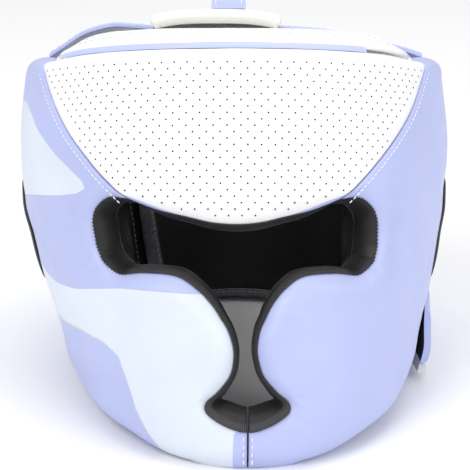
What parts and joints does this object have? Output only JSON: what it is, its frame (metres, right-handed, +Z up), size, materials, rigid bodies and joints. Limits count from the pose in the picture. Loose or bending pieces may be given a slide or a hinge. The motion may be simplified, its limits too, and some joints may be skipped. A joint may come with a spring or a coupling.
{
  "type": "boxing headgear",
  "caption": "Padded full-face boxing headgear with open eye, nose and mouth gap, cheek pads, strapped crown and wrap-round closure at the back",
  "frame": {"origin": "bottom centre of the bounding box, on the surface that the lower rim rests on", "axes": "+Z up from that surface, -Y the side the face looks out of, +X the wearer's left"},
  "size_m": [0.2398, 0.2826, 0.2091],
  "materials": {
    "forehead_pad": "perforated white synthetic leather",
    "side_pad_left": "smooth matt lilac synthetic leather with icy blue areas",
    "side_pad_right": "smooth matt lilac synthetic leather",
    "lining_forehead": "soft black lining",
    "lining_left": "soft black lining",
    "lining_right": "soft black lining",
    "trim_brow": "ribbed black edge tape",
    "trim_left": "ribbed black edge tape",
    "trim_right": "ribbed black edge tape",
    "rim_binding": "lilac synthetic leather strip",
    "crown_front_pad": "stitched white synthetic leather",
    "crown_rear_flap": "white synthetic leather",
    "crown_strap": "stitched lilac synthetic leather",
    "side_strap_left": "lilac synthetic leather",
    "side_strap_right": "lilac synthetic leather",
    "back_pad": "black padded lining",
    "back_binding": "grey woven binding",
    "wing_binding_left": "grey woven binding",
    "wing_binding_right": "grey woven binding",
    "closure_strap": "lilac synthetic leather",
    "closure_binding": "white edge tape",
    "ear_trim_left": "black edge ring",
    "ear_trim_right": "black edge ring"
  },
  "bodies": {
    "root": {"forehead_pad": "forehead_pad", "side_pad_left": "side_pad_left", "side_pad_right": "side_pad_right", "lining_forehead": "lining_forehead", "lining_left": "lining_left", "lining_right": "lining_right", "trim_brow": "trim_brow", "trim_left": "trim_left", "trim_right": "trim_right", "rim_binding": "rim_binding", "crown_front_pad": "crown_front_pad", "crown_rear_flap": "crown_rear_flap", "crown_strap": "crown_strap", "side_strap_left": "side_strap_left", "side_strap_right": "side_strap_right", "back_pad": "back_pad", "back_binding": "back_binding", "wing_binding_left": "wing_binding_left", "wing_binding_right": "wing_binding_right", "closure_strap": "closure_strap", "closure_binding": "closure_binding", "ear_trim_left": "ear_trim_left", "ear_trim_right": "ear_trim_right"}
  },
  "joints": []
}
